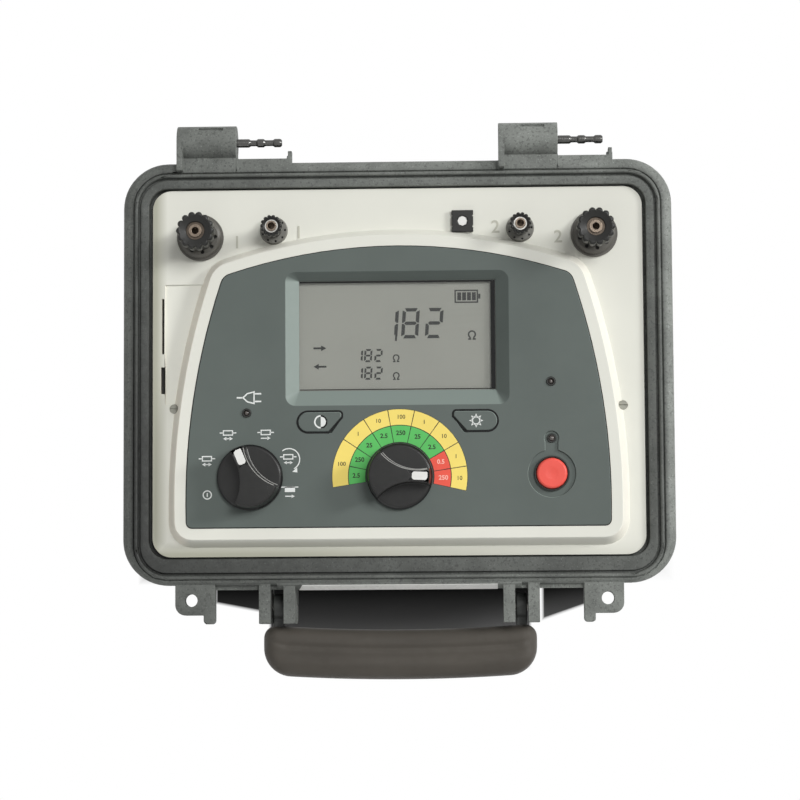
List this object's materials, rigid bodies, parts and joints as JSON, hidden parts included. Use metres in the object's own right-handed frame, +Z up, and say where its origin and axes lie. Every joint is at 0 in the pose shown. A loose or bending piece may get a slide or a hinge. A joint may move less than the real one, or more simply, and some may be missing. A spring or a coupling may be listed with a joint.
{
  "type": "micro ohmmeter",
  "caption": "Portable micro ohmmeter in the base of a carrying case, with a segment display, two rotary selectors, push buttons and screw terminals, and a fold-down handle.",
  "frame": {"origin": "middle of the whole outline, with the handle out, on the surface that the feet stand on", "axes": "+Z up out of the panel, +Y towards the lid's hinges, +X to the right as the display is read; the handle is towards -Y"},
  "size_m": [0.315, 0.3184, 0.15],
  "materials": {
    "case": "speckled mid grey, textured structural foam",
    "rubber": "warm dark grey, satin",
    "handle": "dark grey moulding",
    "steel": "turned, bright",
    "brass": "turned, plated",
    "ivory": "fine texture",
    "slate": "fine texture",
    "window": "clear, polished",
    "lcd": "grey reflective liquid crystal",
    "white": "white",
    "board": "green solder mask",
    "black": "black moulding",
    "red": "coral red, satin",
    "lens": "unlit dark red",
    "cell": "shrink sleeve",
    "aluminium": "extruded",
    "winding": "varnished"
  },
  "bodies": {
    "case": {"case_tub": "case", "rubber_feet": "rubber", "foot_screws": "steel", "left_hinge_pin": "steel", "right_hinge_pin": "steel", "handle_pins": "steel", "panel": "ivory", "panel_gasket": "rubber", "panel_screws": "steel", "fascia": "slate", "display_window": "window", "display_cell": "lcd", "display_backlight": "white", "display_board": "board", "display_pillars": "steel", "function_switch": "black", "range_switch": "black", "contrast_switch": "black", "backlight_switch": "black", "test_bezel": "black", "test_switch": "black", "lamp_rings": "black", "lamp_lenses": "lens", "c1_base": "black", "c1_stem": "steel", "c2_base": "black", "c2_stem": "steel", "p1_base": "black", "p1_stem": "steel", "p2_base": "black", "p2_stem": "steel", "terminal_nuts": "steel", "remote_socket": "black", "main_board": "board", "board_screws": "steel", "battery_tray": "black", "battery_cells": "cell", "battery_strap": "black", "heat_sink": "aluminium", "power_board": "board", "transformer": "winding"},
    "handle": {"handle_core": "handle", "handle_grip": "rubber"},
    "function_knob": {"function_knob": "black", "function_pointer": "white", "function_shaft": "steel"},
    "range_knob": {"range_knob": "black", "range_pointer": "white", "range_shaft": "steel"},
    "contrast_button": {"contrast_button": "slate"},
    "backlight_button": {"backlight_button": "slate"},
    "test_button": {"test_button": "red"},
    "c1_insert": {"c1_insert": "brass"},
    "c1_cap": {"c1_cap": "black"},
    "c2_insert": {"c2_insert": "brass"},
    "c2_cap": {"c2_cap": "black"},
    "p1_insert": {"p1_insert": "brass"},
    "p1_cap": {"p1_cap": "black"},
    "p2_insert": {"p2_insert": "brass"},
    "p2_cap": {"p2_cap": "black"}
  },
  "joints": [
    {"name": "handle_swing", "type": "hinge", "parent": "case", "child": "handle", "pos_m": [0, -0.1177, 0.1], "axis": [1, 0, 0], "range_deg": [0, 88]},
    {"name": "function_turn", "type": "hinge", "parent": "case", "child": "function_knob", "pos_m": [-0.0839, -0.0445, 0.1274], "axis": [0, 0, 1], "range_deg": [-135, 90]},
    {"name": "range_turn", "type": "hinge", "parent": "case", "child": "range_knob", "pos_m": [0.0011, -0.0445, 0.1274], "axis": [0, 0, 1], "range_deg": [0, 180]},
    {"name": "contrast_press", "type": "slide", "parent": "case", "child": "contrast_button", "axis": [0, 0, -1], "range_m": [0, 0.001], "stiffness_N_per_m": 800, "springref_m": -0.0005},
    {"name": "backlight_press", "type": "slide", "parent": "case", "child": "backlight_button", "axis": [0, 0, -1], "range_m": [0, 0.001], "stiffness_N_per_m": 800, "springref_m": -0.0005},
    {"name": "test_press", "type": "slide", "parent": "case", "child": "test_button", "axis": [0, 0, -1], "range_m": [0, 0.0025], "stiffness_N_per_m": 800, "springref_m": -0.0005},
    {"name": "c1_lift", "type": "slide", "parent": "case", "child": "c1_insert", "axis": [0, 0, 1], "range_m": [0, 0.006]},
    {"name": "c1_turn", "type": "hinge", "parent": "c1_insert", "child": "c1_cap", "pos_m": [-0.113, 0.0943, 0.119], "axis": [0, 0, 1], "range_deg": [0, 1440]},
    {"name": "c2_lift", "type": "slide", "parent": "case", "child": "c2_insert", "axis": [0, 0, 1], "range_m": [0, 0.006]},
    {"name": "c2_turn", "type": "hinge", "parent": "c2_insert", "child": "c2_cap", "pos_m": [0.113, 0.0943, 0.119], "axis": [0, 0, 1], "range_deg": [0, 1440]},
    {"name": "p1_lift", "type": "slide", "parent": "case", "child": "p1_insert", "axis": [0, 0, 1], "range_m": [0, 0.006]},
    {"name": "p1_turn", "type": "hinge", "parent": "p1_insert", "child": "p1_cap", "pos_m": [-0.0707, 0.098, 0.119], "axis": [0, 0, 1], "range_deg": [0, 1440]},
    {"name": "p2_lift", "type": "slide", "parent": "case", "child": "p2_insert", "axis": [0, 0, 1], "range_m": [0, 0.006]},
    {"name": "p2_turn", "type": "hinge", "parent": "p2_insert", "child": "p2_cap", "pos_m": [0.0707, 0.098, 0.119], "axis": [0, 0, 1], "range_deg": [0, 1440]}
  ],
  "couplings": [
    {"joint": "c1_turn", "follows": "c1_lift", "rad_per_m": 4188.8},
    {"joint": "c2_turn", "follows": "c2_lift", "rad_per_m": 4188.8},
    {"joint": "p1_turn", "follows": "p1_lift", "rad_per_m": 4188.8},
    {"joint": "p2_turn", "follows": "p2_lift", "rad_per_m": 4188.8}
  ]
}
